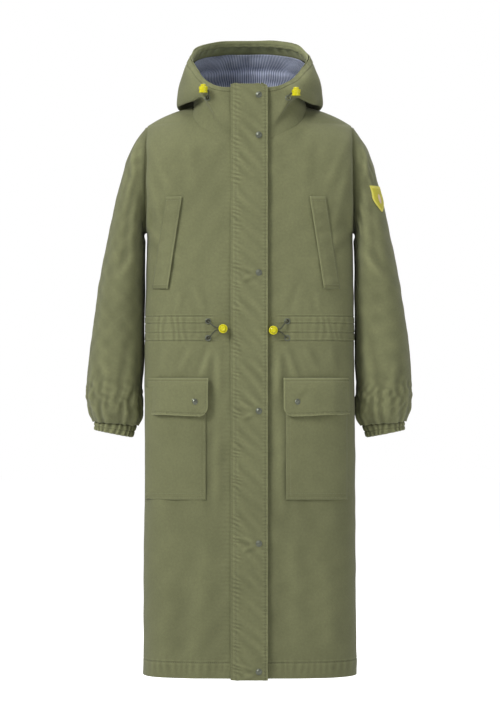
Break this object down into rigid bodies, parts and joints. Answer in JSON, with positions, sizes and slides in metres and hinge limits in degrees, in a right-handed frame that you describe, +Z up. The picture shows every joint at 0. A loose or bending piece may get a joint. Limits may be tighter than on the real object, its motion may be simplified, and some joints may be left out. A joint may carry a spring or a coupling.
{
  "type": "hooded parka coat",
  "caption": "Long hooded cotton parka with storm placket, snaps, zip, flap pockets, waist drawcords and cord locks.",
  "frame": {"origin": "the hanger loop inside the back neck, where the garment hangs", "axes": "+Z up along the back from hem to collar, -Y the front, +X the wearer's left"},
  "size_m": [0.649, 0.3052, 1.2745],
  "materials": {
    "canvas": "matte cotton canvas",
    "lining": "smooth striped cotton",
    "zip_plastic": "moulded",
    "zip_metal": "antique plated",
    "loop_tape": "woven tape",
    "snap_metal": "gunmetal plated",
    "cord": "braided",
    "lock_plastic": "glossy moulded",
    "badge_twill": "embroidered twill"
  },
  "bodies": {
    "torso": {"front_left_panel": "canvas", "front_right_panel": "canvas", "back_panel": "canvas", "body_lining": "lining", "collar_left": "canvas", "collar_right": "canvas", "zip_chain_left": "zip_plastic", "zip_chain_right": "zip_plastic", "hanger_loop": "loop_tape", "snap_stud_1": "snap_metal", "snap_stud_2": "snap_metal", "snap_stud_3": "snap_metal", "snap_stud_4": "snap_metal", "snap_stud_5": "snap_metal", "snap_stud_6": "snap_metal", "chest_welt_left": "canvas", "chest_welt_right": "canvas", "patch_pocket_left": "canvas", "patch_pocket_right": "canvas", "pocket_stud_left": "snap_metal", "pocket_stud_right": "snap_metal", "waist_drawcord_left": "cord", "waist_drawcord_right": "cord", "waist_eyelet_left_upper": "snap_metal", "waist_eyelet_left_lower": "snap_metal", "waist_eyelet_right_upper": "snap_metal", "waist_eyelet_right_lower": "snap_metal", "hood_drawcord_left": "cord", "hood_drawcord_right": "cord"},
    "sleeve_left_body": {"sleeve_left": "canvas", "sleeve_lining_left": "lining", "cuff_left": "canvas", "sleeve_badge": "badge_twill"},
    "sleeve_right_body": {"sleeve_right": "canvas", "sleeve_lining_right": "lining", "cuff_right": "canvas"},
    "hood_body": {"hood_shell": "canvas", "hood_facing": "canvas", "hood_lining": "lining"},
    "placket_body": {"storm_placket": "canvas", "snap_cap_1": "snap_metal", "snap_cap_2": "snap_metal", "snap_cap_3": "snap_metal", "snap_cap_4": "snap_metal", "snap_cap_5": "snap_metal", "snap_cap_6": "snap_metal"},
    "flap_left_body": {"pocket_flap_left": "canvas", "pocket_cap_left": "snap_metal"},
    "flap_right_body": {"pocket_flap_right": "canvas", "pocket_cap_right": "snap_metal"},
    "slider_body": {"zip_slider": "zip_metal"},
    "pull_body": {"zip_pull": "zip_metal"},
    "waist_lock_left": {"cord_lock_body_waist_left": "lock_plastic"},
    "waist_button_left": {"cord_lock_button_waist_left": "lock_plastic"},
    "waist_lock_right": {"cord_lock_body_waist_right": "lock_plastic"},
    "waist_button_right": {"cord_lock_button_waist_right": "lock_plastic"},
    "hood_lock_left": {"cord_lock_body_hood_left": "lock_plastic"},
    "hood_button_left": {"cord_lock_button_hood_left": "lock_plastic"},
    "hood_lock_right": {"cord_lock_body_hood_right": "lock_plastic"},
    "hood_button_right": {"cord_lock_button_hood_right": "lock_plastic"}
  },
  "joints": [
    {"name": "shoulder_left", "type": "hinge", "parent": "torso", "child": "sleeve_left_body", "pos_m": [0.2065, -0.075, -0.0555], "axis": [0, -1, 0], "range_deg": [0, 70]},
    {"name": "shoulder_right", "type": "hinge", "parent": "torso", "child": "sleeve_right_body", "pos_m": [-0.2065, -0.075, -0.0555], "axis": [0, 1, 0], "range_deg": [0, 70]},
    {"name": "hood_fold", "type": "hinge", "parent": "torso", "child": "hood_body", "pos_m": [0, 0.03, -0.1], "axis": [-1, 0, 0], "range_deg": [0, 25]},
    {"name": "placket_swing", "type": "hinge", "parent": "torso", "child": "placket_body", "pos_m": [-0.0372, -0.18716, 0.00002], "axis": [0, -0.0224, -0.9997], "range_deg": [0, 70]},
    {"name": "flap_lift_left", "type": "hinge", "parent": "torso", "child": "flap_left_body", "pos_m": [0.1237, -0.18743, -0.54894], "axis": [-0.9728, -0.2316, 0.0001], "range_deg": [0, 60]},
    {"name": "flap_lift_right", "type": "hinge", "parent": "torso", "child": "flap_right_body", "pos_m": [-0.13803, -0.17989, -0.54894], "axis": [-0.9416, 0.3366, -0.0002], "range_deg": [0, 60]},
    {"name": "zip_travel", "type": "slide", "parent": "torso", "child": "slider_body", "axis": [0, -0.0224, -0.9997], "range_m": [0, 1.05]},
    {"name": "zip_pull_swing", "type": "hinge", "parent": "slider_body", "child": "pull_body", "pos_m": [-0.007, -0.19029, 0.00309], "axis": [-1, 0, 0], "range_deg": [0, 3]},
    {"name": "waist_lock_slide_left", "type": "slide", "parent": "torso", "child": "waist_lock_left", "axis": [0.9999, 0.0154, 0], "range_m": [0, 0.003]},
    {"name": "waist_button_press_left", "type": "slide", "parent": "waist_lock_left", "child": "waist_button_left", "axis": [-0.0139, 0.9997, -0.0224], "range_m": [0, 0.003], "stiffness_N_per_m": 300, "springref_m": -0.003},
    {"name": "waist_lock_slide_right", "type": "slide", "parent": "torso", "child": "waist_lock_right", "axis": [-0.9998, 0.0198, 0], "range_m": [0, 0.003]},
    {"name": "waist_button_press_right", "type": "slide", "parent": "waist_lock_right", "child": "waist_button_right", "axis": [0.0179, 0.9996, -0.0224], "range_m": [0, 0.003], "stiffness_N_per_m": 300, "springref_m": -0.003},
    {"name": "hood_lock_slide_left", "type": "slide", "parent": "torso", "child": "hood_lock_left", "axis": [1, 0, 0], "range_m": [0, 0.0025]},
    {"name": "hood_button_press_left", "type": "slide", "parent": "hood_lock_left", "child": "hood_button_left", "axis": [0, 0, -1], "range_m": [0, 0.003], "stiffness_N_per_m": 300, "springref_m": -0.003},
    {"name": "hood_lock_slide_right", "type": "slide", "parent": "torso", "child": "hood_lock_right", "axis": [-1, 0, 0], "range_m": [0, 0.0025]},
    {"name": "hood_button_press_right", "type": "slide", "parent": "hood_lock_right", "child": "hood_button_right", "axis": [0, 0, -1], "range_m": [0, 0.003], "stiffness_N_per_m": 300, "springref_m": -0.003}
  ]
}
